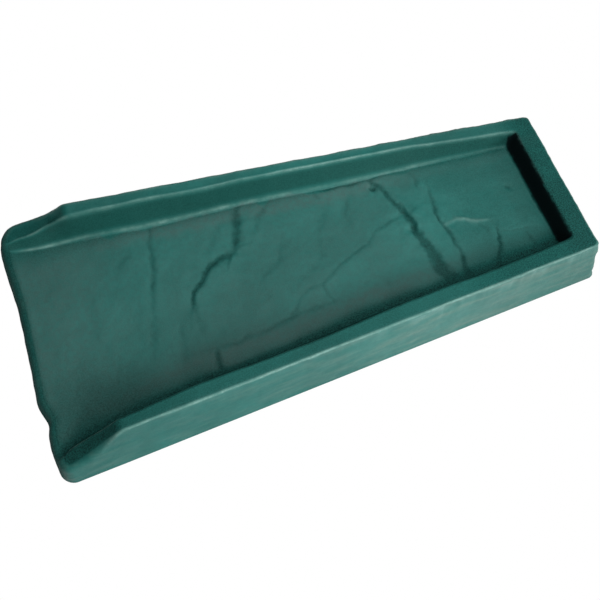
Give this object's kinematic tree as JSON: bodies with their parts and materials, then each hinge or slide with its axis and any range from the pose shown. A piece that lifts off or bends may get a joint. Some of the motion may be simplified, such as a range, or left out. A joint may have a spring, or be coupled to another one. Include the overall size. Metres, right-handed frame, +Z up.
{
  "type": "splash block",
  "caption": "Downspout splash block: shallow open-ended trough in moulded plastic with a riven floor falling towards a ragged, wider mouth; hollow and open underneath.",
  "frame": {"origin": "on the ground, under the middle of the block", "axes": "+X along the trough, from the open mouth to the closed back where the downspout empties; +Y across it; +Z up"},
  "size_m": [0.616, 0.285, 0.058],
  "materials": {
    "green_plastic": "satin, riven stone texture"
  },
  "bodies": {
    "root": {"splash_block": "green_plastic"}
  },
  "joints": []
}
